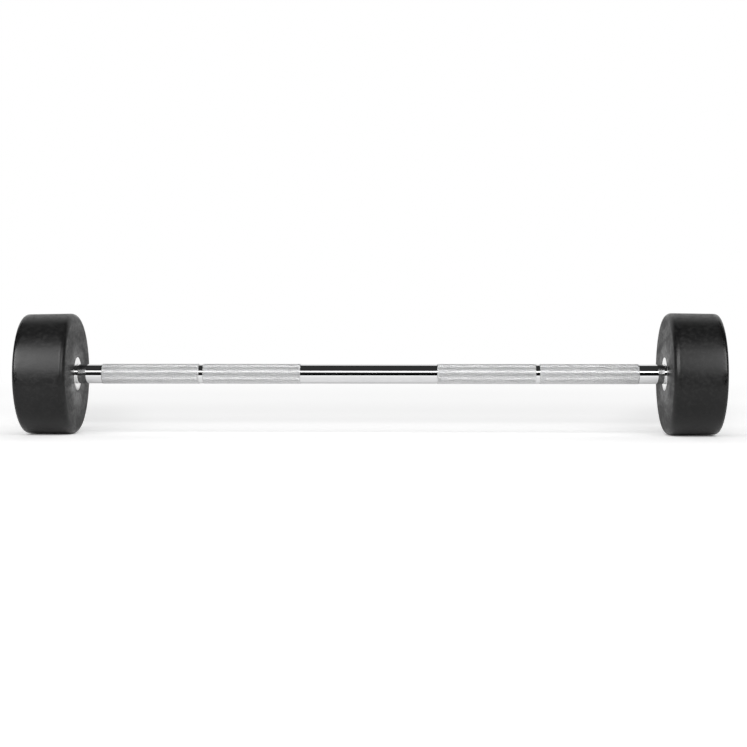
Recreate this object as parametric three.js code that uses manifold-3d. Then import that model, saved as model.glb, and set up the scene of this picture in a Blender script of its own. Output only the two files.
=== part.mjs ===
// A fixed barbell: a knurled steel bar with a rubber-covered weight keyed and bolted on each end.
// Lengths are millimetres. +X runs along the bar, +Z is up, and the heads rest on z = 0 under its middle.

import * as THREE from "three";
import { mergeVertices } from "three/addons/utils/BufferGeometryUtils.js";
import Module from "manifold-3d";

// The bar: a plain middle, then two knurled bands each side with a plain groove between them
const barDiameter = 30;
const knurlDiameter = 31;
const centreLength = 212;
const bandLength = 152;
const grooveWidth = 6;
const plainEndLength = 40; // from the outer band to the head
const bandChamfer = 1; // along the bar, at each end of a band
const spigotDiameter = 25; // the turned-down end that the weight sits on
const shoulderChamfer = 0.6;
const spigotChamfer = 1;
const tappedDepth = 40;
const countersinkDepth = 0.8;
const drillPointDegrees = 118;

// The head: rubber moulded round a cast-iron core
const headDiameter = 188; // at its widest, beside the inner edge
const headWidth = 80.5;
const innerEdgeRadius = 9.6;
const outerEdgeRadius = 6.3;
const draftDegrees = 0.9; // the side narrows towards the outer face, so that the mould opens
const coreDiameter = 168;
const innerFaceRubber = 7.2;
const outerFaceRubber = 9.7;
const coreChamfer = 4;
const lockGrooveWidth = 10; // round the core, filled by a rib of the jacket
const lockGrooveDepth = 3;
const lipChamfer = 0.6; // where the rubber meets the inner ring
const openingChamfer = 2; // at the mouth of the opening round the end disc

// A shallow bare panel in the outer face
const panelOuterDiameter = 152;
const panelInnerDiameter = 80;
const panelDepth = 1.5;
const panelSlope = 2.5;

// The polished ring in the inner face, held by its flange behind the rubber
const ringDiameter = 52;
const ringProud = 0.8;
const ringChamfer = 0.6;
const flangeDiameter = 62;
const flangeThickness = 3;

// The retaining disc in the outer face, with a pocket for the bolt's head
const discDiameter = 60;
const discThickness = 5;
const discChamfer = 0.8;
const bossDiameter = 40;
const bossLength = 12;
const pocketDiameter = 24;
const pocketFloor = 4;
const clampGap = 1; // the bolt pulls on the core, so the boss stops short of the bar

// The cap screw, its washer and the key
const boltDiameter = 12;
const boltLength = 40; // under the head
const boltHeadDiameter = 18;
const boltHeadHeight = 12;
const boltChamfer = 1;
const hexagonWidth = 10; // across flats
const hexagonDepth = 6;
const washerDiameter = 20;
const washerThickness = 2.5;
const washerSlit = 2;
const washerSlitDegrees = 20;
const keyWidth = 8;
const keyHeight = 7;
const keySeatDepth = 4; // cut in the spigot
const keyInset = 6; // from the core's inner face to the near end of the key
const keyOutset = 9; // from the far end of the key to the end of the core's bore

const seatGap = 0.3; // between pieces that seat on each other
const overrun = 5; // how far a cutting tool runs past what it cuts
const mergeDistance = 1e-4; // vertices closer than this are one

// Facets round a turned piece, each a multiple of four, so that a flat lies at the bottom
const headFacets = 48;
const trimFacets = 36;
const screwFacets = 24;
const arcSteps = 3; // a quarter round gets twice as many

// Finishes
const chromed = { color: 0xd9dbdd, roughness: 0.08, metalness: 1 };
const polished = { color: 0xe2e2e0, roughness: 0.18, metalness: 1 };
const zincPlated = { color: 0xb9bcc0, roughness: 0.35, metalness: 1 };
const blackened = { color: 0x2b2b2d, roughness: 0.45, metalness: 0.8 };
const castIron = { color: 0x4a4a4c, roughness: 0.75, metalness: 0.6 };
const rubber = { color: 0x1b1b1c, roughness: 0.55, metalness: 0 };

// Half the distance between the inner faces of the heads
const gripHalf = centreLength / 2 + 2 * bandLength + grooveWidth + plainEndLength;

// Distances outwards from the inner face of a head
const coreStart = innerFaceRubber + seatGap;
const coreEnd = headWidth - outerFaceRubber - seatGap;
const discSeat = coreEnd + seatGap;
const bossEnd = discSeat - bossLength;
const spigotEnd = bossEnd - clampGap;
const washerSeat = bossEnd + pocketFloor + seatGap;
const boltSeat = washerSeat + washerThickness + seatGap;
const flangeFront = innerFaceRubber - flangeThickness;

const barRadius = barDiameter / 2;
const knurlRadius = knurlDiameter / 2;
const spigotRadius = spigotDiameter / 2;
const tappedRadius = boltDiameter / 2 + seatGap;
const headRadius = headDiameter / 2;
const coreRadius = coreDiameter / 2;
const ringRadius = ringDiameter / 2;
const flangeRadius = flangeDiameter / 2;
const discRadius = discDiameter / 2;
const bossRadius = bossDiameter / 2;
const boltRadius = boltDiameter / 2;
const boltHeadRadius = boltHeadDiameter / 2;

const wasm = await Module();
wasm.setup();

// Turns a path of (distance along the bar, radius) about the bar's axis. The facets touch the true circle
// from outside, so the head's flats and every bore keep their full size.
function turned(path, facets) {
  const outline = path.getPoints(arcSteps);
  const facetFactor = 1 / Math.cos(Math.PI / facets);
  const points = outline.map((point) => new THREE.Vector2(point.y * facetFactor, point.x));
  if (THREE.ShapeUtils.area(outline) > 0) points.reverse();
  const geometry = new THREE.LatheGeometry(points, facets, Math.PI / facets);
  return geometry.rotateZ(-Math.PI / 2);
}

// A path through (distance along the bar, radius) pairs
function pathThrough(pairs) {
  return new THREE.Path(pairs.map(([along, radius]) => new THREE.Vector2(along, radius)));
}

function toSolid(geometry) {
  const bare = geometry.clone().deleteAttribute("normal").deleteAttribute("uv");
  const merged = mergeVertices(bare, mergeDistance);
  const vertProperties = merged.getAttribute("position").array;
  const triVerts = new Uint32Array(merged.index.array);
  return new wasm.Manifold(new wasm.Mesh({ numProp: 3, vertProperties, triVerts }));
}

function toGeometry(solid) {
  const mesh = solid.getMesh();
  const geometry = new THREE.BufferGeometry();
  geometry.setAttribute("position", new THREE.BufferAttribute(mesh.vertProperties, mesh.numProp));
  geometry.setIndex(new THREE.BufferAttribute(mesh.triVerts, 1));
  geometry.computeVertexNormals();
  return geometry;
}

// Takes each cutter out of a geometry.
function cut(geometry, cutters) {
  const start = toSolid(geometry);
  return toGeometry(cutters.reduce((solid, cutter) => solid.subtract(toSolid(cutter)), start));
}

function piece(name, geometry, finish) {
  const mesh = new THREE.Mesh(geometry, new THREE.MeshStandardMaterial(finish));
  mesh.name = name;
  return mesh;
}

// A block with round ends, lying along +X between two heights
function roundEnded(start, length, width, low, high) {
  const radius = width / 2;
  const outline = new THREE.Shape();
  outline.absarc(start + length - radius, 0, radius, -Math.PI / 2, Math.PI / 2);
  outline.absarc(start + radius, 0, radius, Math.PI / 2, (3 * Math.PI) / 2);
  const options = { depth: high - low, bevelEnabled: false, curveSegments: arcSteps * 2 };
  return new THREE.ExtrudeGeometry(outline, options).translate(0, 0, low);
}

const keyStart = coreStart + keyInset;
const boreEnd = bossEnd - seatGap;
const keyLength = boreEnd - keyOutset - keyStart;
const keyFloor = spigotRadius - keySeatDepth;

// The seat that is milled in the right-hand spigot for the key, at the top
function keySeat() {
  const start = gripHalf + keyStart - seatGap;
  const length = keyLength + 2 * seatGap;
  return roundEnded(start, length, keyWidth + 2 * seatGap, keyFloor, spigotRadius + overrun);
}

// Half of the bar's outline, from its middle outwards to the bottom of the tapped hole
function barHalf() {
  const shoulder = gripHalf + coreStart - seatGap;
  const end = gripHalf + spigotEnd;
  const firstBand = centreLength / 2;
  const secondBand = firstBand + bandLength + grooveWidth;
  const bands = [firstBand, secondBand].flatMap((start) => [
    [start, barRadius],
    [start + bandChamfer, knurlRadius],
    [start + bandLength - bandChamfer, knurlRadius],
    [start + bandLength, barRadius],
  ]);
  const drillPoint = tappedRadius / Math.tan(THREE.MathUtils.degToRad(drillPointDegrees / 2));
  return [
    ...bands,
    [shoulder - shoulderChamfer, barRadius],
    [shoulder, barRadius - shoulderChamfer],
    [shoulder, spigotRadius],
    [end - spigotChamfer, spigotRadius],
    [end, spigotRadius - spigotChamfer],
    [end, tappedRadius + countersinkDepth],
    [end - countersinkDepth, tappedRadius],
    [end - tappedDepth, tappedRadius],
    [end - tappedDepth - drillPoint, 0],
  ];
}

function bar() {
  const right = barHalf();
  const left = right.map(([along, radius]) => [-along, radius]).reverse();
  const blank = turned(pathThrough([...left, ...right]), trimFacets);
  const rightSeat = keySeat();
  const leftSeat = rightSeat.clone().rotateZ(Math.PI);
  return piece("bar", cut(blank, [leftSeat, rightSeat]), chromed);
}

// The middle of the lock groove, which the jacket's rib also uses
const lockMiddle = (coreStart + coreEnd) / 2;

function core() {
  const bore = spigotRadius + seatGap;
  const counterbore = bossRadius + seatGap;
  const grooveStart = lockMiddle - lockGrooveWidth / 2;
  const grooveEnd = lockMiddle + lockGrooveWidth / 2;
  const blank = turned(
    pathThrough([
      [coreStart, bore],
      [coreStart, coreRadius - coreChamfer],
      [coreStart + coreChamfer, coreRadius],
      [grooveStart, coreRadius],
      [grooveStart, coreRadius - lockGrooveDepth],
      [grooveEnd, coreRadius - lockGrooveDepth],
      [grooveEnd, coreRadius],
      [coreEnd - coreChamfer, coreRadius],
      [coreEnd, coreRadius - coreChamfer],
      [coreEnd, counterbore],
      [boreEnd, counterbore],
      [boreEnd, bore],
      [coreStart, bore],
    ]),
    headFacets,
  );
  const slotTop = keyFloor + keyHeight + 2 * seatGap;
  const slotLength = boreEnd - coreStart + 2 * overrun;
  const slot = new THREE.BoxGeometry(slotLength, keyWidth + 2 * seatGap, slotTop);
  slot.translate((coreStart + boreEnd) / 2, 0, slotTop / 2);
  return cut(blank, [slot]);
}

// The rubber: rounded and tapered outside, moulded to the core, the ring and the disc inside
function jacket() {
  const draft = THREE.MathUtils.degToRad(draftDegrees);
  const innerArcAlong = innerEdgeRadius;
  const innerArcRadius = headRadius - innerEdgeRadius;
  const outerArcAlong = headWidth - outerEdgeRadius;
  const radiusChange = (innerEdgeRadius - outerEdgeRadius) / Math.cos(draft);
  const narrowing = Math.tan(draft) * (outerArcAlong - innerArcAlong);
  const outerArcRadius = innerArcRadius + radiusChange - narrowing;

  const lipBore = ringRadius + seatGap;
  const lipBack = flangeFront - seatGap;
  const flangePocket = flangeRadius + seatGap;
  const cavity = coreRadius + seatGap;
  const cavityCorner = cavity - coreChamfer;
  const ribRadius = cavity - lockGrooveDepth;
  const ribHalf = lockGrooveWidth / 2 - seatGap;
  const cavityEnd = discSeat;
  const opening = discRadius + seatGap;
  const panelFloor = headWidth - panelDepth;

  const outline = new THREE.Path();
  outline.moveTo(lipBack, lipBore);
  outline.lineTo(lipChamfer, lipBore);
  outline.lineTo(0, lipBore + lipChamfer);
  outline.absarc(innerArcAlong, innerArcRadius, innerEdgeRadius, Math.PI, Math.PI / 2 - draft, true);
  outline.absarc(outerArcAlong, outerArcRadius, outerEdgeRadius, Math.PI / 2 - draft, 0, true);
  outline.lineTo(headWidth, panelOuterDiameter / 2);
  outline.lineTo(panelFloor, panelOuterDiameter / 2 - panelSlope);
  outline.lineTo(panelFloor, panelInnerDiameter / 2 + panelSlope);
  outline.lineTo(headWidth, panelInnerDiameter / 2);
  outline.lineTo(headWidth, opening + openingChamfer);
  outline.lineTo(headWidth - openingChamfer, opening);
  outline.lineTo(cavityEnd, opening);
  outline.lineTo(cavityEnd, cavityCorner);
  outline.lineTo(cavityEnd - coreChamfer, cavity);
  outline.lineTo(lockMiddle + ribHalf, cavity);
  outline.lineTo(lockMiddle + ribHalf, ribRadius);
  outline.lineTo(lockMiddle - ribHalf, ribRadius);
  outline.lineTo(lockMiddle - ribHalf, cavity);
  outline.lineTo(innerFaceRubber + coreChamfer, cavity);
  outline.lineTo(innerFaceRubber, cavityCorner);
  outline.lineTo(innerFaceRubber, flangePocket);
  outline.lineTo(lipBack, flangePocket);
  outline.lineTo(lipBack, lipBore);
  return turned(outline, headFacets);
}

function innerRing() {
  const bore = barRadius + seatGap;
  return turned(
    pathThrough([
      [ringChamfer - ringProud, bore],
      [-ringProud, bore + ringChamfer],
      [-ringProud, ringRadius - ringChamfer],
      [ringChamfer - ringProud, ringRadius],
      [flangeFront, ringRadius],
      [flangeFront, flangeRadius],
      [innerFaceRubber, flangeRadius],
      [innerFaceRubber, bore],
      [ringChamfer - ringProud, bore],
    ]),
    trimFacets,
  );
}

function endDisc() {
  const front = discSeat + discThickness;
  const pocket = pocketDiameter / 2;
  const throughHole = boltRadius + seatGap;
  return turned(
    pathThrough([
      [bossEnd, throughHole],
      [bossEnd, bossRadius - discChamfer],
      [bossEnd + discChamfer, bossRadius],
      [discSeat, bossRadius],
      [discSeat, discRadius],
      [front - discChamfer, discRadius],
      [front, discRadius - discChamfer],
      [front, pocket + discChamfer],
      [front - discChamfer, pocket],
      [bossEnd + pocketFloor, pocket],
      [bossEnd + pocketFloor, throughHole],
      [bossEnd, throughHole],
    ]),
    trimFacets,
  );
}

// A split ring, with its slit cut aslant through the top
function lockWasher() {
  const inside = boltRadius + seatGap;
  const outside = washerDiameter / 2;
  const end = washerSeat + washerThickness;
  const ring = turned(
    pathThrough([
      [washerSeat, inside],
      [washerSeat, outside],
      [end, outside],
      [end, inside],
      [washerSeat, inside],
    ]),
    screwFacets,
  );
  const slit = new THREE.BoxGeometry(washerThickness * 2, washerSlit, washerDiameter);
  slit.rotateZ(THREE.MathUtils.degToRad(washerSlitDegrees));
  slit.translate((washerSeat + end) / 2, 0, washerDiameter / 2);
  return cut(ring, [slit]);
}

// A cap screw with a hexagon socket in its head; its thread is left plain
function endBolt() {
  const top = boltSeat + boltHeadHeight;
  const tip = boltSeat - boltLength;
  const blank = turned(
    pathThrough([
      [tip, 0],
      [tip, boltRadius - boltChamfer],
      [tip + boltChamfer, boltRadius],
      [boltSeat, boltRadius],
      [boltSeat, boltHeadRadius],
      [top - boltChamfer, boltHeadRadius],
      [top, boltHeadRadius - boltChamfer],
      [top, 0],
    ]),
    screwFacets,
  );
  const cornerRadius = hexagonWidth / 2 / Math.cos(Math.PI / 6);
  const socketLength = hexagonDepth + overrun;
  const socket = new THREE.CylinderGeometry(cornerRadius, cornerRadius, socketLength, 6);
  socket.rotateZ(-Math.PI / 2).translate(top - hexagonDepth + socketLength / 2, 0, 0);
  return cut(blank, [socket]);
}

function key() {
  const low = keyFloor + seatGap;
  return roundEnded(keyStart, keyLength, keyWidth, low, low + keyHeight);
}

// One head, built outwards along +X from its inner face
function head(side) {
  const group = new THREE.Group();
  group.add(
    piece(`jacket_${side}`, jacket(), rubber),
    piece(`core_${side}`, core(), castIron),
    piece(`inner_ring_${side}`, innerRing(), polished),
    piece(`key_${side}`, key(), zincPlated),
    piece(`end_disc_${side}`, endDisc(), zincPlated),
    piece(`lock_washer_${side}`, lockWasher(), zincPlated),
    piece(`end_bolt_${side}`, endBolt(), blackened),
  );
  return group;
}

const barbell = new THREE.Group();
barbell.position.z = headRadius;
barbell.add(bar());

const rightHead = head("right");
rightHead.position.x = gripHalf;
barbell.add(rightHead);

const leftHead = head("left");
leftHead.position.x = -gripHalf;
leftHead.rotation.z = Math.PI;
barbell.add(leftHead);

export default barbell;
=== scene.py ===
# A fixed barbell: a chromed steel bar with four knurled bands, and a rubber-covered weight keyed and bolted
# on each end. Lengths are metres. +X runs along the bar, +Z is up, and the heads rest on z = 0.
import math

import bmesh
import bpy
from mathutils import Matrix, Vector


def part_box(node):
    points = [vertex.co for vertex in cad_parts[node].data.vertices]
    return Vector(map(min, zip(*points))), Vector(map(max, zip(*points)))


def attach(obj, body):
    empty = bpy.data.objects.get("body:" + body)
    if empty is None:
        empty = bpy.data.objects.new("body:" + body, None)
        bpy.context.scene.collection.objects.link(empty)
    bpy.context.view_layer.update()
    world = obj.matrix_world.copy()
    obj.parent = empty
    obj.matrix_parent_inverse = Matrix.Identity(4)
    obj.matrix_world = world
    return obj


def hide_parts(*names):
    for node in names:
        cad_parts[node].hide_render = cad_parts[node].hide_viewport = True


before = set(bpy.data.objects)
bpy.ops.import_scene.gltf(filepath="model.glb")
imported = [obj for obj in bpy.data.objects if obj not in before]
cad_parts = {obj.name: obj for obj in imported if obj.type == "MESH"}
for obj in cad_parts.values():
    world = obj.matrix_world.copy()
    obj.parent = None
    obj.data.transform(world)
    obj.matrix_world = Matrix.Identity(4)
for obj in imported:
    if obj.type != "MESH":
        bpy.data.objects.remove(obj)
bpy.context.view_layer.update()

scene = bpy.context.scene
scene.view_settings.view_transform = "Standard"

# The camera stands 2.3 m in front of the bar, a little right of its middle and a little above it, and looks
# slightly down and to the left. The long lens keeps both heads in view with little perspective.
camera = bpy.data.objects.new("camera", bpy.data.cameras.new("camera"))
camera.location = (0.0705, -2.3432, 0.1447)
camera_tilt = math.radians(-1.2217)
camera_turn = math.radians(2.309)
camera.rotation_euler = (math.pi / 2 + camera_tilt, 0, camera_turn)
camera.data.sensor_width = 36
camera.data.lens = 72.74
camera.data.shift_x = 0.02696
scene.collection.objects.link(camera)
scene.camera = camera

# The studio: a long strip light in front of the bar and above it, a bright backdrop behind, and a dark room
# overhead and to the sides. The chrome mirrors the strip, the knurl blurs it and the rubber spreads it, so
# each has lamps of its own along the same line, and the pieces join their lamps' collections further down.
strip_low = math.radians(23.4)
strip_high = math.radians(34.8)
strip_distance = 1.9
strip_reach = 3
strip_radiance = 3.5
knurl_light_radiance = 3.1
knurl_light_distance = 2
head_light_angle = math.radians(29)
head_light_height = 1.5
soft_light_radiance = 2.2
soft_light_angle = math.radians(38)
soft_light_distance = 2.4
soft_light_reach = 1.7
soft_light_height = 1.8

bar_low, bar_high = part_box("bar")
axis_height = (bar_low.z + bar_high.z) / 2


def add_lamp(name, radiance, angle, distance, start, end, height):
    """Adds an area lamp along the bar, above it on the camera's side, which faces the bar's axis.

    Its radiance is a quarter of its energy for each square metre."""
    lamp = bpy.data.objects.new(name, bpy.data.lights.new(name, "AREA"))
    lamp.data.shape = "RECTANGLE"
    lamp.data.size = end - start
    lamp.data.size_y = height
    lamp.data.energy = 4 * radiance * (end - start) * height
    lamp.location = (
        (start + end) / 2,
        -distance * math.cos(angle),
        axis_height + distance * math.sin(angle),
    )
    lamp.rotation_euler = (math.pi / 2 - angle, 0, 0)
    lamp.visible_camera = False
    scene.collection.objects.link(lamp)
    return lamp


# The strip lights all but the rubber
strip_angle = (strip_low + strip_high) / 2
strip_height = 2 * strip_distance * math.tan((strip_high - strip_low) / 2)
strip = add_lamp(
    "strip", strip_radiance, strip_angle, strip_distance, -strip_reach, strip_reach, strip_height
)
strip.visible_diffuse = False
not_rubber = bpy.data.collections.new("not_rubber")
strip.light_linking.receiver_collection = not_rubber

# A second strip behind it lights only the knurled bands
knurl_light = add_lamp(
    "knurl_light", knurl_light_radiance, strip_angle, knurl_light_distance, -strip_reach, strip_reach,
    strip_height,
)
knurl_light.visible_diffuse = False
knurled_pieces = bpy.data.collections.new("knurled_pieces")
knurl_light.light_linking.receiver_collection = knurled_pieces

# Five lamps end to end light only the rubber. Each gives its radiance and where along the bar it ends.
rubber_pieces = bpy.data.collections.new("rubber_pieces")
start = -strip_reach
for name, radiance, end in (
    ("left_end_light", 7.5, -1.15),
    ("left_head_light", 2.6, -0.4),
    ("middle_light", 9, 0),
    ("right_head_light", 0.5, 1.05),
    ("right_end_light", 5.6, strip_reach),
):
    head_light = add_lamp(name, radiance, head_light_angle, strip_distance, start, end, head_light_height)
    head_light.visible_diffuse = False
    head_light.light_linking.receiver_collection = rubber_pieces
    start = end

# A wide soft lamp lights everything, but no piece mirrors it
soft_light = add_lamp(
    "soft_light", soft_light_radiance, soft_light_angle, soft_light_distance, -soft_light_reach,
    soft_light_reach, soft_light_height,
)
soft_light.visible_glossy = False


def add_node(tree, kind, inputs=None, **settings):
    """Adds a shader node, sets it, and links or sets its inputs."""
    made = tree.nodes.new(kind)
    for name, value in settings.items():
        setattr(made, name, value)
    for socket, value in (inputs or {}).items():
        if isinstance(value, bpy.types.NodeSocket):
            tree.links.new(value, made.inputs[socket])
        else:
            made.inputs[socket].default_value = value
    return made


def add_math(tree, operation, *values):
    """Adds a Math node on sockets or numbers."""
    return add_node(tree, "ShaderNodeMath", dict(enumerate(values)), operation=operation).outputs[0]


def map_range(tree, value, start, end, low=0, high=1, smooth=True):
    """Maps a value that goes from start to end to one that goes from low to high, and holds it past both."""
    kind = "SMOOTHSTEP" if smooth else "LINEAR"
    inputs = {"Value": value, "From Min": start, "From Max": end, "To Min": low, "To Max": high}
    return add_node(tree, "ShaderNodeMapRange", inputs, interpolation_type=kind).outputs["Result"]


def add_ramp(tree, value, stops):
    """Adds a ramp of greys over a value, with a (value, grey) pair for each stop."""
    start = stops[0][0]
    end = stops[-1][0]
    factor = map_range(tree, value, start, end, smooth=False)
    ramp = add_node(tree, "ShaderNodeValToRGB", {"Fac": factor})
    elements = ramp.color_ramp.elements
    while len(elements) < len(stops):
        elements.new(1)
    for element, (place, grey) in zip(elements, stops):
        element.position = (place - start) / (end - start)
        element.color = (grey, grey, grey, 1)
    return ramp.outputs["Color"]


def mix_colours(tree, factor, first, second):
    """Mixes two colours, which are sockets or red, green, blue and alpha."""
    inputs = {"Factor": factor, 6: first, 7: second}
    return add_node(tree, "ShaderNodeMix", inputs, data_type="RGBA").outputs[2]


# The room round the studio is drawn by the angle over the bar: 0 is forwards, a quarter turn is straight up
# and a half turn is backwards. It darkens towards the bar's ends, with a grey panel past each. The pairs are
# where such a change starts and where it is full, by how much of a direction lies along the bar.
black = (0, 0, 0, 1)
white = (1, 1, 1, 1)
straight_down = -math.pi / 2
front_grey = 0.02
ceiling_low = math.radians(43)
ceiling_grey = 0.041
backdrop_edge = math.pi - math.radians(58)
hard_edge = math.radians(0.36)
soft_edge = math.radians(2)
backdrop_side = (0.62, 0.78)
side_panel_edge = (0.9, 0.99)
side_panel_grey = 0.45

world = bpy.data.worlds.new("studio")
scene.world = world
world.use_nodes = True
tree = world.node_tree
tree.nodes.clear()
direction = add_node(tree, "ShaderNodeTexCoord").outputs["Generated"]
sideways, backwards, upwards = add_node(tree, "ShaderNodeSeparateXYZ", {"Vector": direction}).outputs
forwards = add_math(tree, "MULTIPLY", backwards, -1)
angle_over = add_math(tree, "ARCTAN2", upwards, forwards)
room = add_ramp(
    tree,
    angle_over,
    (
        (-math.pi, 1),
        (straight_down, 1),
        (straight_down + hard_edge, front_grey),
        (ceiling_low, front_grey),
        (ceiling_low + soft_edge, ceiling_grey),
        (backdrop_edge - soft_edge, ceiling_grey),
        (backdrop_edge + soft_edge, 1),
        (math.pi, 1),
    ),
)
to_the_side = add_math(tree, "ABSOLUTE", sideways)
past_backdrop = map_range(tree, to_the_side, *backdrop_side)
room = mix_colours(tree, past_backdrop, room, black)
side_panel = map_range(tree, to_the_side, *side_panel_edge, 0, side_panel_grey)
room = add_math(tree, "ADD", room, side_panel)
rays = add_node(tree, "ShaderNodeLightPath").outputs
shown_white = add_math(tree, "MAXIMUM", rays["Is Camera Ray"], rays["Is Transmission Ray"])
seen = mix_colours(tree, shown_white, room, white)
background = add_node(tree, "ShaderNodeBackground", {"Color": seen, "Strength": 1})
add_node(tree, "ShaderNodeOutputWorld", {"Surface": background.outputs[0]})

# The floor is a white paper sweep that carries the barbell's shadow and fades into the white backdrop. It
# glows a little where it is seen or mirrored, with painted shade behind and under the bar, beside the heads
# and round their feet, and the chrome sees it end in front as a painted dark reflection. The pairs are where
# a change starts and where it is full, and the tables give a glow or shade at each depth.
floor_half = 30
floor_white = 0.8
front_glow = 0.54
middle_glow = 0.6
back_glow = 0.69
front_to_middle = (-0.15, 0.1)
middle_to_back = (0.6, 1.5)
zone_shades = (
    (-0.1, 0.02), (0.2, 0.035), (0.275, 0.05), (0.3875, 0.13), (0.47, 0.12), (0.6, 0.083), (1.4, 0.06),
    (2.4, 0.04),
)
zone_edge = (0.63, 0.44)
zone_widening = 0.2
beside_head_shade = 0.085
beside_head_edge = (0.3, 0.44)
beside_head_front = (0, 0.35)
beside_head_back = (1.5, 0.5)
mirrored_glows = (
    (-0.4, 0.84), (-0.36, 0.84), (-0.14, 0.6), (-0.06, 0.52), (0, 0.46), (0.05, 0.31), (0.3, 0), (0.8, 0),
    (1.6, 0.5),
)
mirrored_paper_end = (-0.31, -0.32)
contact_reach = 0.5
contact_shadow_glows = ((0, 0), (0.2, 0.72), (0.7, 0.85), (1, 1))
white_edge = (0.8, 3.4)

bm = bmesh.new()
bmesh.ops.create_grid(bm, x_segments=4, y_segments=4, size=floor_half)
floor_mesh = bpy.data.meshes.new("floor")
bm.to_mesh(floor_mesh)
bm.free()
floor = bpy.data.objects.new("floor", floor_mesh)
scene.collection.objects.link(floor)

paper = bpy.data.materials.new("white_paper")
floor_mesh.materials.append(paper)
paper.use_nodes = True
tree = paper.node_tree
tree.nodes.clear()
place = add_node(tree, "ShaderNodeTexCoord").outputs["Object"]
split = add_node(tree, "ShaderNodeSeparateXYZ", {"Vector": place}).outputs
from_middle = add_math(tree, "ABSOLUTE", split["X"])
depth = split["Y"]
rays = add_node(tree, "ShaderNodeLightPath").outputs
shown = add_math(tree, "MAXIMUM", rays["Is Camera Ray"], rays["Is Glossy Ray"])
shown = add_math(tree, "MAXIMUM", shown, rays["Is Transmission Ray"])

# Painted shadow of the barbell: a grey zone behind the bar, which widens with its depth and is darker
# beside the heads
zone = add_math(tree, "MULTIPLY_ADD", depth, -zone_widening, from_middle)
beside_head = map_range(tree, zone, *beside_head_edge, 0, beside_head_shade)
beside_head = add_math(tree, "MULTIPLY", beside_head, map_range(tree, depth, *beside_head_front))
beside_head = add_math(tree, "MULTIPLY", beside_head, map_range(tree, depth, *beside_head_back))
shade = add_math(tree, "ADD", add_ramp(tree, depth, zone_shades), beside_head)
shade = add_math(tree, "MULTIPLY", map_range(tree, zone, *zone_edge), shade)

# The paper's glow as the camera sees it and as the pieces mirror it, both with painted shade under the
# barbell. The mirrored glow is also painted brighter in front of the bar.
seen_glow = map_range(tree, depth, *middle_to_back, middle_glow, back_glow)
seen_glow = map_range(tree, depth, *front_to_middle, front_glow, seen_glow)
seen_glow = add_math(tree, "SUBTRACT", seen_glow, shade)
mirrored_glow = add_ramp(tree, depth, mirrored_glows)
paper_glow = add_node(
    tree, "ShaderNodeMix", {"Factor": rays["Is Camera Ray"], 2: mirrored_glow, 3: seen_glow}
).outputs[0]
# Painted contact shadow: ambient occlusion dims the glow where the pieces stand close over the paper
open_sky = add_node(tree, "ShaderNodeAmbientOcclusion", {"Distance": contact_reach}, samples=8).outputs["AO"]
paper_glow = add_math(tree, "MULTIPLY", paper_glow, add_ramp(tree, open_sky, contact_shadow_glows))

# The lit paper fades to plain white far from the bar, and its mirror images end in front of the bar, a
# painted dark reflection that the camera itself doesn't see
lit = add_node(tree, "ShaderNodeBsdfDiffuse", {"Color": (floor_white, floor_white, floor_white, 1)})
glow = add_node(tree, "ShaderNodeEmission", {"Color": white, "Strength": paper_glow})
glowing = add_node(tree, "ShaderNodeAddShader", {0: lit.outputs[0], 1: glow.outputs[0]})
plain_white = add_node(tree, "ShaderNodeEmission", {"Color": white, "Strength": 1})
distance = add_node(tree, "ShaderNodeVectorMath", {0: place}, operation="LENGTH").outputs["Value"]
far = map_range(tree, distance, *white_edge)
faded = add_node(tree, "ShaderNodeMixShader", {"Fac": far, 1: glowing.outputs[0], 2: plain_white.outputs[0]})
past_paper = map_range(tree, depth, *mirrored_paper_end)
past_paper = add_math(tree, "MULTIPLY", past_paper, rays["Is Glossy Ray"])
dark = add_node(tree, "ShaderNodeEmission", {"Color": black, "Strength": 0})
visible = add_node(tree, "ShaderNodeMixShader", {"Fac": past_paper, 1: faded.outputs[0], 2: dark.outputs[0]})
surface = add_node(tree, "ShaderNodeMixShader", {"Fac": shown, 1: lit.outputs[0], 2: visible.outputs[0]})
add_node(tree, "ShaderNodeOutputMaterial", {"Surface": surface.outputs[0]})

# The bar is one solid steel bar, turned down at each end for the weights and hard-chromed and polished all
# over. Each end is tapped for the bolt. Its milled key seat lies inside the weight and isn't cut here.
mm = 0.001
bar_radius = 15 * mm
under_knurl_radius = 14.9 * mm
under_knurl_inset = 1 * mm
centre_length = 212 * mm
band_length = 152 * mm
groove_width = 6 * mm
inner_band_start = centre_length / 2
outer_band_start = inner_band_start + band_length + groove_width
spigot_radius = 12.5 * mm
shoulder_chamfer = 0.6 * mm
spigot_chamfer = 1 * mm
tapped_radius = 6.3 * mm
tapped_depth = 40 * mm
countersink = 0.8 * mm
drill_point = tapped_radius / math.tan(math.radians(59))
bar_steps = 128
merge_distance = 0.001 * mm
seat_gap = 0.3 * mm
jacket_low, jacket_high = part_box("jacket_right")
grip_half = jacket_low.x
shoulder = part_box("core_right")[0].x - seat_gap

chrome_colour = (0.71, 0.712, 0.716, 1)
dulled_chrome_colour = (0.68, 0.682, 0.688, 1)
chrome_roughness = 0.03
chrome_mark_depth = 0.0003 * mm


def new_material(name):
    """Starts a material, and gives it with its tree and the place of each point about the bar's axis."""
    material = bpy.data.materials.new(name)
    material.use_nodes = True
    tree = material.node_tree
    tree.nodes.clear()
    coordinates = add_node(tree, "ShaderNodeTexCoord").outputs["Object"]
    centred = add_node(
        tree, "ShaderNodeMapping", {"Vector": coordinates, "Location": (0, 0, -axis_height)}
    )
    return material, tree, centred.outputs["Vector"]


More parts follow.
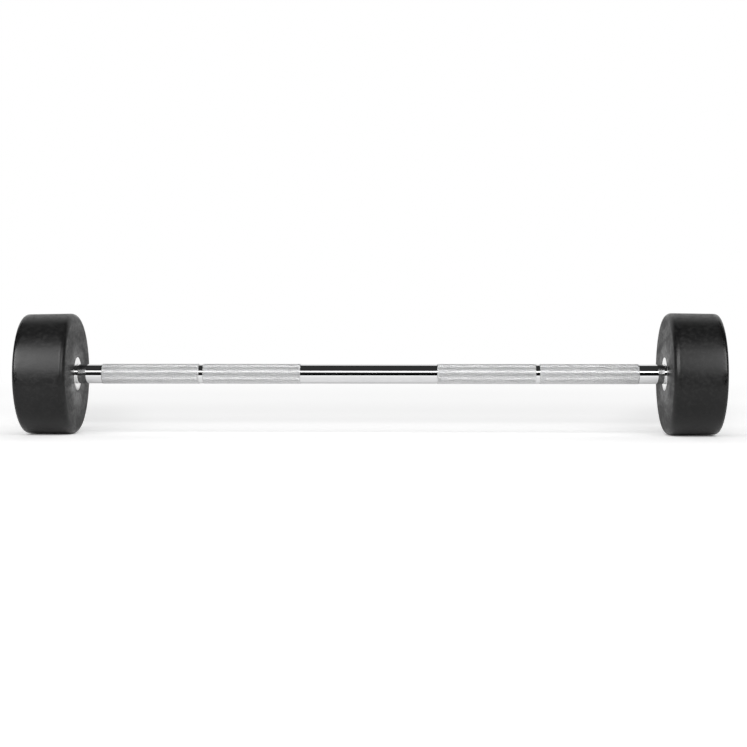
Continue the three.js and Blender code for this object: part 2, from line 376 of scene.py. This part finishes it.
def add_shader(tree, inputs):
    """Adds a material's Principled BSDF, with its inputs, and the output."""
    shader = add_node(tree, "ShaderNodeBsdfPrincipled", inputs)
    add_node(tree, "ShaderNodeOutputMaterial", {"Surface": shader.outputs[0]})


def add_group(tree, group, inputs):
    """Places a node group in a material, and gives its outputs."""
    return add_node(tree, "ShaderNodeGroup", inputs, node_tree=group).outputs


def add_bump(tree, height, depth, strength=1, under=None):
    """Adds a bump with the depth of a height map, on top of another bump where one is given."""
    inputs = {"Height": height, "Distance": depth, "Strength": strength}
    if under:
        inputs["Normal"] = under
    return add_node(tree, "ShaderNodeBump", inputs).outputs["Normal"]


def raised(tree, base, *changes):
    """Adds to a base value the amount of each (mask, amount) pair, as far as its mask goes."""
    for mask, amount in changes:
        base = add_math(tree, "MULTIPLY_ADD", mask, amount, base)
    return base


def about_axis(tree, place):
    """Splits a place into what is along the bar, across it and upwards, with the distance from its axis."""
    along, across, upwards = add_node(tree, "ShaderNodeSeparateXYZ", {"Vector": place}).outputs
    flattened = add_node(tree, "ShaderNodeCombineXYZ", {"X": across, "Y": upwards}).outputs["Vector"]
    radius = add_node(tree, "ShaderNodeVectorMath", {0: flattened}, operation="LENGTH").outputs["Value"]
    return along, across, upwards, radius


def new_group(name, inputs, outputs):
    """Starts a shader node group, and gives it with its named value or vector inputs."""
    group = bpy.data.node_groups.new(name, "ShaderNodeTree")
    for label, kind in inputs:
        group.interface.new_socket(label, in_out="INPUT", socket_type=kind)
    for label in outputs:
        group.interface.new_socket(label, in_out="OUTPUT", socket_type="NodeSocketFloat")
    return group, add_node(group, "NodeGroupInput").outputs


# Shared by every turned metal piece: the fine rings that a lathe and a polishing wheel leave
turned_marks, given = new_group(
    "turned_marks",
    [("Place", "NodeSocketVector"), ("Rings per Metre", "NodeSocketFloat")],
    ["Mask", "Height"],
)
along, across, upwards, radius = about_axis(turned_marks, given["Place"])
outline = add_math(turned_marks, "ADD", along, radius)
track = add_node(
    turned_marks,
    "ShaderNodeCombineXYZ",
    {
        "X": add_math(turned_marks, "MULTIPLY", outline, given["Rings per Metre"]),
        "Y": add_math(turned_marks, "ARCTAN2", across, upwards),
    },
)
rings = add_node(
    turned_marks,
    "ShaderNodeTexNoise",
    {"Vector": track.outputs[0], "Scale": 1, "Detail": 3, "Roughness": 0.6},
    noise_dimensions="2D",
).outputs["Fac"]
marks = {"Mask": map_range(turned_marks, rings, 0.35, 0.75), "Height": rings}
add_node(turned_marks, "NodeGroupOutput", marks)

# Shared by metal and rubber: cloudy patches where hands, cloths and dust have dulled the surface
smudges, given = new_group(
    "smudges",
    [("Place", "NodeSocketVector"), ("Patches per Metre", "NodeSocketFloat")],
    ["Mask"],
)
clouds = add_node(
    smudges,
    "ShaderNodeTexNoise",
    {
        "Vector": given["Place"],
        "Scale": given["Patches per Metre"],
        "Detail": 5,
        "Roughness": 0.62,
        "Distortion": 0.6,
    },
).outputs["Fac"]
add_node(smudges, "NodeGroupOutput", {"Mask": map_range(smudges, clouds, 0.42, 0.68)})


def chrome_material():
    material, tree, place = new_material("polished_chrome")
    marks = add_group(tree, turned_marks, {"Place": place, "Rings per Metre": 2500})
    dulled = add_group(tree, smudges, {"Place": place, "Patches per Metre": 18})
    add_shader(tree, {
        "Base Color": mix_colours(tree, dulled["Mask"], chrome_colour, dulled_chrome_colour),
        "Roughness": raised(tree, chrome_roughness, (marks["Mask"], 0.012), (dulled["Mask"], 0.015)),
        "Normal": add_bump(tree, marks["Height"], chrome_mark_depth),
        "Metallic": 1,
    })
    return material


def rounded(bm, vert, radius, segments):
    """Rounds one corner of an outline to an arc that touches both its edges."""
    before, after = (edge.other_vert(vert).co - vert.co for edge in vert.link_edges)
    reach = radius / math.tan(before.angle(after) / 2)
    bmesh.ops.bevel(
        bm, geom=[vert], offset=reach, offset_type="OFFSET", segments=segments, profile=0.5,
        affect="VERTICES", clamp_overlap=False, material=-1,
    )


def turned(corners, steps, closed=True):
    """Turns an outline about the X axis.

    A corner is a distance along and a radius, and then the radius and segments of its rounding, if any."""
    bm = bmesh.new()
    verts = [bm.verts.new((along, 0, radius)) for along, radius, *_ in corners]
    followers = verts[1:] + verts[:1] if closed else verts[1:]
    for pair in zip(verts, followers):
        bm.edges.new(pair)
    for vert, (_, _, *rounding) in zip(verts, corners):
        if rounding:
            rounded(bm, vert, *rounding)
    bmesh.ops.spin(
        bm, geom=bm.verts[:] + bm.edges[:], axis=(1, 0, 0), cent=(0, 0, 0), angle=2 * math.pi,
        steps=steps, use_merge=True,
    )
    return bm


def finished(bm, name, node, material, sharp_above=32):
    """Merges a mesh's doubles, faces it outwards, lifts it to the bar's axis and makes it a piece.

    Edges that turn by more degrees than sharp_above stay sharp."""
    bmesh.ops.remove_doubles(bm, verts=bm.verts, dist=merge_distance)
    bmesh.ops.recalc_face_normals(bm, faces=bm.faces)
    bmesh.ops.translate(bm, verts=bm.verts, vec=(0, 0, axis_height))
    for face in bm.faces:
        face.smooth = True
    for edge in bm.edges:
        edge.smooth = edge.calc_face_angle(0) < math.radians(sharp_above)
    mesh = bpy.data.meshes.new(name)
    bm.to_mesh(mesh)
    bm.free()
    mesh.materials.append(material)
    piece = bpy.data.objects.new(name, mesh)
    scene.collection.objects.link(piece)
    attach(piece, "root")
    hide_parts(node)
    return piece


def bar_shaft():
    end = bar_high.x
    right = []
    for start in (inner_band_start, outer_band_start):
        hidden_start = start + under_knurl_inset
        hidden_end = start + band_length - under_knurl_inset
        right += [
            (hidden_start, bar_radius),
            (hidden_start, under_knurl_radius),
            (hidden_end, under_knurl_radius),
            (hidden_end, bar_radius),
        ]
    right += [
        (shoulder - shoulder_chamfer, bar_radius),
        (shoulder, bar_radius - shoulder_chamfer),
        (shoulder, spigot_radius),
        (end - spigot_chamfer, spigot_radius),
        (end, spigot_radius - spigot_chamfer),
        (end, tapped_radius + countersink),
        (end - countersink, tapped_radius),
        (end - tapped_depth, tapped_radius),
        (end - tapped_depth - drill_point, 0),
    ]
    left = [(-along, radius) for along, radius in reversed(right)]
    return turned(left + right, bar_steps, closed=False)


finished(bar_shaft(), "bar_shaft", "bar", chrome_material())

# Four knurled bands are rolled into the bar, two for each hand with a plain groove between them. Two wheels
# press crossed grooves that leave small diamonds, with polished tops and painted shade in the valleys between
# them.
knurl_radius = 15.5 * mm
diamond_peak = 15.72 * mm
diamond_valley = 15.27 * mm
diamond_length = 1.87 * mm
diamonds_round = 88
diamond_flat_percent = 50
diamond_sharp_angle = 5
band_chamfer = 1 * mm
sleeve_inside = 14 * mm

knurl_colour = (0.81, 0.815, 0.82, 1)
knurl_shade_and_dirt_colour = (0.42, 0.42, 0.42, 1)
valley_roughness = 0.56
grime_stretch = (1.5, 0.7, 0.7)


def knurl_material():
    material, tree, place = new_material("knurled_chrome")

    # The tops are bright, the valleys get painted shade, and dirt darkens small grains that run round the bar
    radius = about_axis(tree, place)[-1]
    top = map_range(tree, radius, diamond_valley, knurl_radius)
    dulled = add_group(tree, smudges, {"Place": place, "Patches per Metre": 30})
    stretched = add_node(tree, "ShaderNodeMapping", {"Vector": place, "Scale": grime_stretch})
    grime = add_group(tree, smudges, {"Place": stretched.outputs["Vector"], "Patches per Metre": 350})
    paleness = add_math(
        tree, "MULTIPLY", raised(tree, 0.93, (grime["Mask"], -0.22)), raised(tree, 0.5, (top, 0.5))
    )
    add_shader(tree, {
        "Base Color": mix_colours(tree, paleness, knurl_shade_and_dirt_colour, knurl_colour),
        "Roughness": raised(tree, valley_roughness, (top, -0.26), (dulled["Mask"], 0.06)),
        "Metallic": 0.65,
    })
    return material


def knurled_band(start):
    """Makes a closed sleeve of a band's length, with diamonds all over its outside."""
    end = start + band_length
    rows = 2 * round(band_length / diamond_length)
    columns = 2 * diamonds_round

    # A sleeve of small squares, of whose corners every other one is pushed out to a peak
    bm = bmesh.new()
    edge = bm.edges.new([bm.verts.new((along, 0, diamond_valley)) for along in (start, end)])
    bmesh.ops.subdivide_edges(bm, edges=[edge], cuts=rows - 1)
    bmesh.ops.spin(
        bm, geom=bm.verts[:] + bm.edges[:], axis=(1, 0, 0), cent=(0, 0, 0), angle=2 * math.pi,
        steps=columns, use_merge=True,
    )
    peaks = []
    valleys = []
    for vert in bm.verts:
        row = round((vert.co.x - start) * rows / band_length)
        column = round(math.atan2(vert.co.y, vert.co.z) * columns / (2 * math.pi))
        if (row + column) % 2 and 0 < row < rows:
            vert.co.yz *= diamond_peak / diamond_valley
            peaks.append(vert)
        else:
            valleys.append(vert)

    # The valleys run straight between the peaks, and each peak is cut to a small flat
    bmesh.ops.connect_verts(bm, verts=valleys)
    bmesh.ops.bevel(
        bm, geom=peaks, offset=diamond_flat_percent, offset_type="PERCENT", segments=1, profile=0.5,
        affect="VERTICES", material=-1,
    )

    # The blank's diameter cuts off the tops, and both ends are chamfered
    for vert in bm.verts:
        from_end = min(vert.co.x - start, end - vert.co.x)
        most = bar_radius + (knurl_radius - bar_radius) * from_end / band_chamfer
        vert.co.yz *= min(1, most / vert.co.yz.length)

    # The ends are walled in to a plain bore inside the bar
    rims = [edge for edge in bm.edges if edge.is_boundary]
    inner = bmesh.ops.extrude_edge_only(bm, edges=rims)["geom"]
    inner_verts = [item for item in inner if isinstance(item, bmesh.types.BMVert)]
    inner_edges = [item for item in inner if isinstance(item, bmesh.types.BMEdge)]
    for vert in inner_verts:
        vert.co.yz *= sleeve_inside / vert.co.yz.length
    bmesh.ops.bridge_loops(bm, edges=[edge for edge in inner_edges if edge.is_boundary])
    return bm


knurled_chrome = knurl_material()
for hand_place, start in (("inner", inner_band_start), ("outer", outer_band_start)):
    for side, first in (("right", start), ("left", -start - band_length)):
        name = f"knurl_{side}_{hand_place}"
        band = finished(knurled_band(first), name, "bar", knurled_chrome, diamond_sharp_angle)
        knurled_pieces.objects.link(band)

# The rubber jacket is moulded round the cast-iron core in one piece. Its side has a slight draft, its inner
# edge is well rounded and its outer edge less so, and it grips the core by a rib in the core's groove.
head_radius = (jacket_high.z - jacket_low.z) / 2
head_width = jacket_high.x - jacket_low.x
inner_edge_radius = 9.6 * mm
inner_edge_segments = 16
outer_edge_radius = 6.3 * mm
outer_edge_segments = 12
draft = math.radians(0.9)
ring_low, ring_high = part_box("inner_ring_right")
flange_radius = (ring_high.z - ring_low.z) / 2
lip_bore = 26.3 * mm
lip_chamfer = 0.6 * mm
lip_back = 3.9 * mm
inner_rubber = 7.2 * mm
outer_rubber = 9.7 * mm
core_radius = 84 * mm
core_chamfer = 4 * mm
rib_width = 9.4 * mm
rib_height = 3 * mm
opening_radius = 30.3 * mm
opening_chamfer = 2 * mm
panel_outer = 76 * mm
panel_inner = 40 * mm
panel_depth = 1.5 * mm
panel_slope = 2.5 * mm
soft_edges = (1 * mm, 4)
crisp_edges = (0.3 * mm, 2)
head_steps = 192

rubber_colour = (0.006, 0.006, 0.0062, 1)
rubber_dust_colour = (0.028, 0.028, 0.0275, 1)
rubber_roughness = 0.38
smear_stretch = (1, 0.35, 1)
unevenness_depth = 0.26 * mm
grain_depth = 0.03 * mm
face_fade = 2 * mm
panel_fade = 1 * mm
panel_fade_gap = 0.1 * mm
edge_wear_reach = 14 * mm
inner_wear_inset = 6 * mm
inner_wear_share = 0.5
outer_wear_inset = 4 * mm
wear_inside = panel_outer + 6 * mm
wear_outside = panel_outer + 11 * mm
wiped_inside = 38 * mm
wiped_outside = 58 * mm


def rubber_material():
    material, tree, place = new_material("moulded_rubber")
    along, *_, radius = about_axis(tree, place)
    outwards = add_math(tree, "ABSOLUTE", along)
    panel_floor = jacket_high.x - panel_depth

    # Both faces are dustier and duller than the side, and the bare panel most of all
    on_inner_face = map_range(tree, outwards, grip_half + face_fade, grip_half)
    on_outer_face = map_range(tree, outwards, panel_floor - panel_fade, panel_floor - panel_fade_gap)
    on_face = add_math(tree, "MAXIMUM", on_inner_face, on_outer_face)
    in_panel = map_range(tree, outwards, panel_floor, panel_floor + panel_depth / 2, 1, 0)
    in_panel = add_math(tree, "MULTIPLY", in_panel, on_outer_face)

    # Racks and floors rub the side's edges glossier, and wiping the ring does the same to the rubber round it
    wear_start = grip_half + edge_wear_reach
    wear_full = grip_half + inner_wear_inset
    at_inner_edge = map_range(tree, outwards, wear_start, wear_full, 0, inner_wear_share)
    wear_start = jacket_high.x - edge_wear_reach
    wear_full = jacket_high.x - outer_wear_inset
    at_outer_edge = map_range(tree, outwards, wear_start, wear_full)
    rubbed = add_math(tree, "MAXIMUM", at_inner_edge, at_outer_edge)
    rubbed = add_math(tree, "MULTIPLY", rubbed, map_range(tree, radius, wear_inside, wear_outside))
    wiped = map_range(tree, radius, wiped_outside, wiped_inside)
    wiped = add_math(tree, "MULTIPLY", wiped, on_inner_face)

    # Hands leave long smears across the inner face and broad patches on the outer one, over a fine dust
    smeared = add_node(tree, "ShaderNodeMapping", {"Vector": place, "Scale": smear_stretch})
    smears = add_group(tree, smudges, {"Place": smeared.outputs["Vector"], "Patches per Metre": 45})
    broad = add_group(tree, smudges, {"Place": place, "Patches per Metre": 26})
    fine = add_group(tree, smudges, {"Place": place, "Patches per Metre": 160})
    clouds = add_math(tree, "MULTIPLY", broad["Mask"], on_outer_face)
    clouds = add_math(tree, "MULTIPLY_ADD", smears["Mask"], on_inner_face, clouds)
    dust = raised(tree, clouds, (fine["Mask"], 0.3), (on_face, 0.3), (in_panel, 0.5))
    roughness = raised(
        tree, rubber_roughness, (fine["Mask"], 0.12), (on_face, 0.14), (clouds, -0.12), (rubbed, -0.15),
        (wiped, -0.14), (in_panel, 0.2),
    )

    # The mould leaves the surface slightly uneven, with a fine grain
    waves = add_node(
        tree, "ShaderNodeTexNoise", {"Vector": place, "Scale": 55, "Detail": 2, "Roughness": 0.5}
    ).outputs["Fac"]
    grain = add_node(
        tree, "ShaderNodeTexNoise", {"Vector": place, "Scale": 2600, "Detail": 2, "Roughness": 0.5}
    ).outputs["Fac"]
    uneven = add_bump(tree, waves, unevenness_depth)
    add_shader(tree, {
        "Base Color": mix_colours(tree, dust, rubber_colour, rubber_dust_colour),
        "Roughness": roughness,
        "Normal": add_bump(tree, grain, grain_depth, strength=0.5, under=uneven),
        "Specular IOR Level": 0.28,
    })
    return material


def jacket():
    inner_tangent_along = inner_edge_radius * (1 + math.sin(draft))
    inner_tangent_radius = head_radius - inner_edge_radius * (1 - math.cos(draft))
    side_start = inner_tangent_radius + inner_tangent_along * math.tan(draft)
    side_end = side_start - head_width * math.tan(draft)
    cavity = core_radius + seat_gap
    cavity_end = head_width - outer_rubber
    rib_start = (inner_rubber + cavity_end - rib_width) / 2
    rib_end = rib_start + rib_width
    panel_floor = head_width - panel_depth
    corners = [
        (lip_back, lip_bore),
        (lip_chamfer, lip_bore, *crisp_edges),
        (0, lip_bore + lip_chamfer, *crisp_edges),
        (0, side_start, inner_edge_radius, inner_edge_segments),
        (head_width, side_end, outer_edge_radius, outer_edge_segments),
        (head_width, panel_outer, *soft_edges),
        (panel_floor, panel_outer - panel_slope, *soft_edges),
        (panel_floor, panel_inner + panel_slope, *soft_edges),
        (head_width, panel_inner, *soft_edges),
        (head_width, opening_radius + opening_chamfer, *crisp_edges),
        (head_width - opening_chamfer, opening_radius, *crisp_edges),
        (cavity_end, opening_radius),
        (cavity_end, cavity - core_chamfer),
        (cavity_end - core_chamfer, cavity),
        (rib_end, cavity),
        (rib_end, cavity - rib_height),
        (rib_start, cavity - rib_height),
        (rib_start, cavity),
        (inner_rubber + core_chamfer, cavity),
        (inner_rubber, cavity - core_chamfer),
        (inner_rubber, flange_radius + seat_gap),
        (lip_back, flange_radius + seat_gap),
    ]
    return turned(corners, head_steps)


def on_end(bm, side):
    """Takes a piece that was turned from x = 0 outwards to its end of the bar."""
    bmesh.ops.translate(bm, verts=bm.verts, vec=(grip_half, 0, 0))
    if side == "left":
        bmesh.ops.rotate(bm, verts=bm.verts, cent=(0, 0, 0), matrix=Matrix.Rotation(math.pi, 3, "Z"))
    return bm


rubber = rubber_material()
for side in ("left", "right"):
    piece = finished(on_end(jacket(), side), f"rubber_{side}", f"jacket_{side}", rubber)
    rubber_pieces.objects.link(piece)
    not_rubber.objects.link(piece)
for linked in not_rubber.collection_objects:
    linked.light_linking.link_state = "EXCLUDE"

# The inner ring is turned from stainless steel and polished. It closes the gap between the rubber and the
# bar, and its flange is held behind the rubber.
ring_proud = 0.2 * mm
ring_radius = 26 * mm
ring_edge = (0.15 * mm, 4)
flange_edge = (0.3 * mm, 2)
ring_bore = bar_radius + seat_gap
flange_thickness = 3 * mm
ring_steps = 96

ring_colour = (0.83, 0.83, 0.82, 1)
ring_mark_colour = (0.78, 0.78, 0.775, 1)
ring_roughness = 0.12
ring_mark_depth = 0.001 * mm


def ring_material():
    material, tree, place = new_material("polished_ring")
    marks = add_group(tree, turned_marks, {"Place": place, "Rings per Metre": 4000})
    add_shader(tree, {
        "Base Color": mix_colours(tree, marks["Mask"], ring_colour, ring_mark_colour),
        "Roughness": raised(tree, ring_roughness, (marks["Mask"], 0.06)),
        "Normal": add_bump(tree, marks["Height"], ring_mark_depth),
        "Metallic": 1,
    })
    return material


def inner_ring():
    flange_front = inner_rubber - flange_thickness
    corners = [
        (-ring_proud, ring_bore, *ring_edge),
        (-ring_proud, ring_radius, *ring_edge),
        (flange_front, ring_radius),
        (flange_front, flange_radius, *flange_edge),
        (inner_rubber, flange_radius, *flange_edge),
        (inner_rubber, ring_bore),
    ]
    return turned(corners, ring_steps)


polished_steel = ring_material()
for side in ("left", "right"):
    ring = on_end(inner_ring(), side)
    finished(ring, f"ring_{side}", f"inner_ring_{side}", polished_steel)

# The cores are grey iron castings, machined where the bar and the disc seat. The keys between them and the
# bar are cut from zinc-plated key steel. Both are shut in by the rubber, so the CAD solids show them.
iron_colour = (0.075, 0.075, 0.078, 1)
iron_patch_colour = (0.12, 0.112, 0.105, 1)
iron_roughness = 0.6
sand_depth = 0.2 * mm
zinc_colour = (0.66, 0.67, 0.69, 1)
zinc_patch_colour = (0.55, 0.57, 0.6, 1)
zinc_roughness = 0.2
zinc_mark_depth = 0.012 * mm


def iron_material():
    material, tree, place = new_material("grey_cast_iron")
    patches = add_group(tree, smudges, {"Place": place, "Patches per Metre": 60})
    sand = add_node(tree, "ShaderNodeTexNoise", {"Vector": place, "Scale": 900, "Detail": 4})
    add_shader(tree, {
        "Base Color": mix_colours(tree, patches["Mask"], iron_colour, iron_patch_colour),
        "Roughness": raised(tree, iron_roughness, (patches["Mask"], 0.15)),
        "Normal": add_bump(tree, sand.outputs["Fac"], sand_depth, strength=0.5),
        "Metallic": 0.6,
    })
    return material


def zinc_material():
    material, tree, place = new_material("zinc_plate")
    marks = add_group(tree, turned_marks, {"Place": place, "Rings per Metre": 1600})
    patches = add_group(tree, smudges, {"Place": place, "Patches per Metre": 120})
    add_shader(tree, {
        "Base Color": mix_colours(tree, patches["Mask"], zinc_colour, zinc_patch_colour),
        "Roughness": raised(tree, zinc_roughness, (marks["Mask"], 0.12), (patches["Mask"], 0.08)),
        "Normal": add_bump(tree, marks["Height"], zinc_mark_depth),
        "Metallic": 1,
    })
    return material


cast_iron = iron_material()
zinc_plated_steel = zinc_material()
for side in ("left", "right"):
    for name, material in ((f"core_{side}", cast_iron), (f"key_{side}", zinc_plated_steel)):
        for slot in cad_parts[name].material_slots:
            slot.material = material

# The end disc clamps the weight on the bar's shoulder. It is turned from steel and zinc-plated, with a deep
# pocket that takes the bolt's head.
disc_radius = 30 * mm
disc_thickness = 5 * mm
disc_edge = (0.8 * mm, 4)
boss_radius = 20 * mm
boss_length = 12 * mm
pocket_radius = 12 * mm
pocket_floor = 4 * mm
clearance_hole = 6.3 * mm
disc_seat = head_width - outer_rubber
boss_end = disc_seat - boss_length
disc_steps = 128


def end_disc():
    front = disc_seat + disc_thickness
    corners = [
        (boss_end, clearance_hole),
        (boss_end, boss_radius, *disc_edge),
        (disc_seat, boss_radius),
        (disc_seat, disc_radius),
        (front, disc_radius, *disc_edge),
        (front, pocket_radius, *disc_edge),
        (boss_end + pocket_floor, pocket_radius),
        (boss_end + pocket_floor, clearance_hole),
    ]
    return turned(corners, disc_steps)


for side in ("left", "right"):
    disc = on_end(end_disc(), side)
    finished(disc, f"disc_{side}", f"end_disc_{side}", zinc_plated_steel)

# The lock washer is a ring of spring steel, split at a slant and zinc-plated. The bolt's head squeezes it
# flat in the disc's pocket, and its push keeps the bolt from working loose.
washer_radius = 10 * mm
washer_thickness = 2.5 * mm
washer_edge = (0.3 * mm, 3)
washer_slit = 2 * mm
washer_slit_slope = math.tan(math.radians(20))
washer_seat = boss_end + pocket_floor + seat_gap
washer_steps = 64


def lock_washer():
    bm = bmesh.new()
    verts = [
        bm.verts.new((washer_seat + along, 0, radius))
        for along, radius in (
            (0, clearance_hole),
            (0, washer_radius),
            (washer_thickness, washer_radius),
            (washer_thickness, clearance_hole),
        )
    ]
    for pair in zip(verts, verts[1:] + verts[:1]):
        bm.edges.new(pair)
    for vert in verts:
        rounded(bm, vert, *washer_edge)

    # The spin stops short of a full turn by the slit, whose walls are then slanted and closed
    middle_radius = (washer_radius + clearance_hole) / 2
    slit_angle = washer_slit / middle_radius
    bmesh.ops.rotate(
        bm, verts=bm.verts, cent=(0, 0, 0), matrix=Matrix.Rotation(slit_angle / 2, 3, "X")
    )
    bmesh.ops.spin(
        bm, geom=bm.verts[:] + bm.edges[:], axis=(1, 0, 0), cent=(0, 0, 0),
        angle=2 * math.pi - slit_angle, steps=washer_steps,
    )
    ends = [edge for edge in bm.edges if edge.is_boundary]
    for vert in {vert for edge in ends for vert in edge.verts}:
        from_middle = vert.co.x - washer_seat - washer_thickness / 2
        vert.co.y += from_middle * washer_slit_slope
    bmesh.ops.holes_fill(bm, edges=ends)
    return bm


for side in ("left", "right"):
    washer = on_end(lock_washer(), side)
    finished(washer, f"washer_{side}", f"lock_washer_{side}", zinc_plated_steel)

# The end bolt is a blackened M12 cap screw with a hexagon socket. The side of its head is finely knurled,
# and its thread runs in the tapped end of the bar.
bolt_radius = 6 * mm
bolt_length = 40 * mm
bolt_head_radius = 9 * mm
bolt_head_height = 12 * mm
bolt_edge = 1 * mm
bolt_tip_segments = 3
bolt_head_segments = 4
under_head_rounding = (0.5 * mm, 3)
head_seat_edge = (0.2 * mm, 2)
hexagon_width = 10 * mm
hexagon_depth = 6 * mm
socket_chamfer = 0.4 * mm
socket_chamfer_depth = 0.3 * mm
socket_point = 1.5 * mm
bolt_flutes = 48
flute_depth = 0.15 * mm
flute_margin = 0.1 * mm
flute_top_gap = 0.9 * mm
bolt_seat = washer_seat + washer_thickness + seat_gap

bolt_colour = (0.03, 0.03, 0.032, 1)
bolt_patch_colour = (0.055, 0.052, 0.05, 1)
bolt_roughness = 0.36
bolt_mark_depth = 0.005 * mm


def bolt_material():
    material, tree, place = new_material("black_oxide")
    marks = add_group(tree, turned_marks, {"Place": place, "Rings per Metre": 5000})
    patches = add_group(tree, smudges, {"Place": place, "Patches per Metre": 200})
    add_shader(tree, {
        "Base Color": mix_colours(tree, patches["Mask"], bolt_colour, bolt_patch_colour),
        "Roughness": raised(tree, bolt_roughness, (marks["Mask"], 0.12)),
        "Normal": add_bump(tree, marks["Height"], bolt_mark_depth),
        "Metallic": 0.9,
    })
    return material


def end_bolt():
    top = bolt_seat + bolt_head_height
    tip = bolt_seat - bolt_length
    hexagon_corner = hexagon_width / 2 / math.cos(math.pi / 6)
    steps = 2 * bolt_flutes
    corners = [
        (tip, 0),
        (tip, bolt_radius, bolt_edge, bolt_tip_segments),
        (bolt_seat, bolt_radius, *under_head_rounding),
        (bolt_seat, bolt_head_radius, *head_seat_edge),
        (top, bolt_head_radius, bolt_edge, bolt_head_segments),
        (top, hexagon_corner + socket_chamfer),
    ]
    bm = turned(corners, steps, closed=False)

    # Every other line of points round the head is pressed in to a flute
    for vert in bm.verts:
        on_side = bolt_seat + flute_margin < vert.co.x < top - flute_top_gap
        column = round(math.atan2(vert.co.y, vert.co.z) * steps / (2 * math.pi))
        if on_side and column % 2 and vert.co.yz.length > bolt_head_radius - flute_margin:
            vert.co.yz *= 1 - flute_depth / bolt_head_radius

    # The round mouth of the socket narrows to the hexagon, which goes down to a shallow point
    mouth = [edge for edge in bm.edges if edge.is_boundary and edge.verts[0].co.yz.length > bolt_radius / 2]
    hexagon = bmesh.ops.create_circle(bm, segments=6, radius=hexagon_corner)["verts"]
    bmesh.ops.rotate(
        bm, verts=hexagon, cent=(0, 0, 0), matrix=Matrix.Rotation(math.pi / 2, 3, "Y")
    )
    bmesh.ops.translate(bm, verts=hexagon, vec=(top - socket_chamfer_depth, 0, 0))
    sides = list({edge for vert in hexagon for edge in vert.link_edges})
    split_sides = bmesh.ops.subdivide_edges(bm, edges=sides, cuts=steps // 6 - 1)["geom_split"]
    sides = [item for item in split_sides if isinstance(item, bmesh.types.BMEdge)]
    bmesh.ops.bridge_loops(bm, edges=mouth + sides)
    for depth, scale in ((hexagon_depth, 1), (socket_point, 0)):
        walls = bmesh.ops.extrude_edge_only(bm, edges=sides)["geom"]
        verts = [item for item in walls if isinstance(item, bmesh.types.BMVert)]
        sides = [item for item in walls if isinstance(item, bmesh.types.BMEdge) and item.is_boundary]
        for vert in verts:
            vert.co.x -= depth
            vert.co.yz *= scale
    return bm


blackened_steel = bolt_material()
for side in ("left", "right"):
    bolt = on_end(end_bolt(), side)
    finished(bolt, f"bolt_{side}", f"end_bolt_{side}", blackened_steel)
